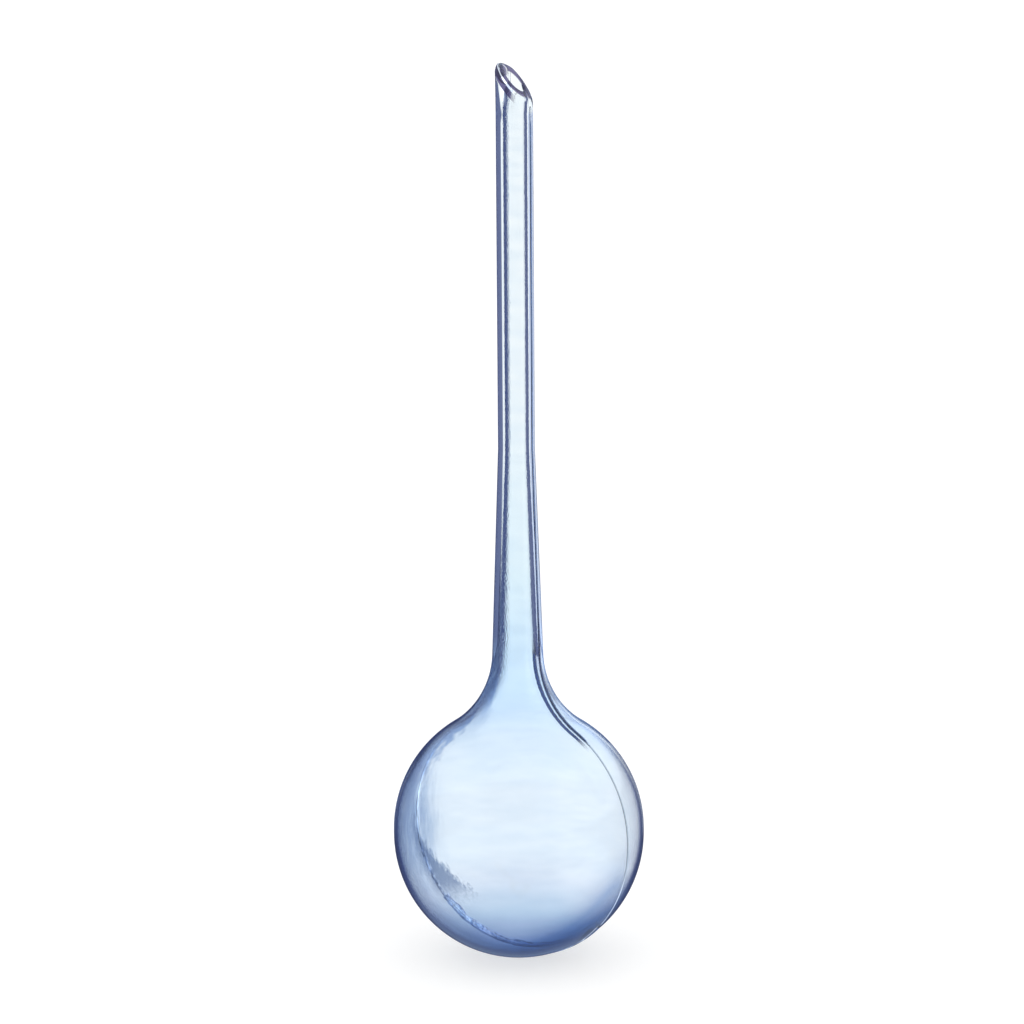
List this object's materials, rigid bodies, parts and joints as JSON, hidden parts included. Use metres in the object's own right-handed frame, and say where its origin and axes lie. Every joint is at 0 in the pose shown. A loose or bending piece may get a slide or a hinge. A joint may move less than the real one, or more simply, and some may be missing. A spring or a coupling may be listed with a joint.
{
  "type": "watering globe",
  "caption": "Clear blue plastic watering globe: a round bulb that runs into a long tapered stem with a slanted open mouth, pushed into soil to water a potted plant slowly.",
  "frame": {"origin": "lowest point of the bulb, on the axis of bulb and stem, with the mouth up", "axes": "+Z along the axis from the bulb to the mouth, +X in the mould's parting plane towards the low side of the slanted mouth"},
  "size_m": [0.079, 0.0788, 0.28],
  "materials": {
    "clear_blue_plastic": "clear, glossy, tinted light blue"
  },
  "bodies": {
    "root": {"front_half_shell": "clear_blue_plastic", "rear_half_shell": "clear_blue_plastic", "right_stem_weld": "clear_blue_plastic", "left_stem_weld": "clear_blue_plastic", "right_parting_line": "clear_blue_plastic", "left_parting_line": "clear_blue_plastic", "base_weld": "clear_blue_plastic"}
  },
  "joints": []
}
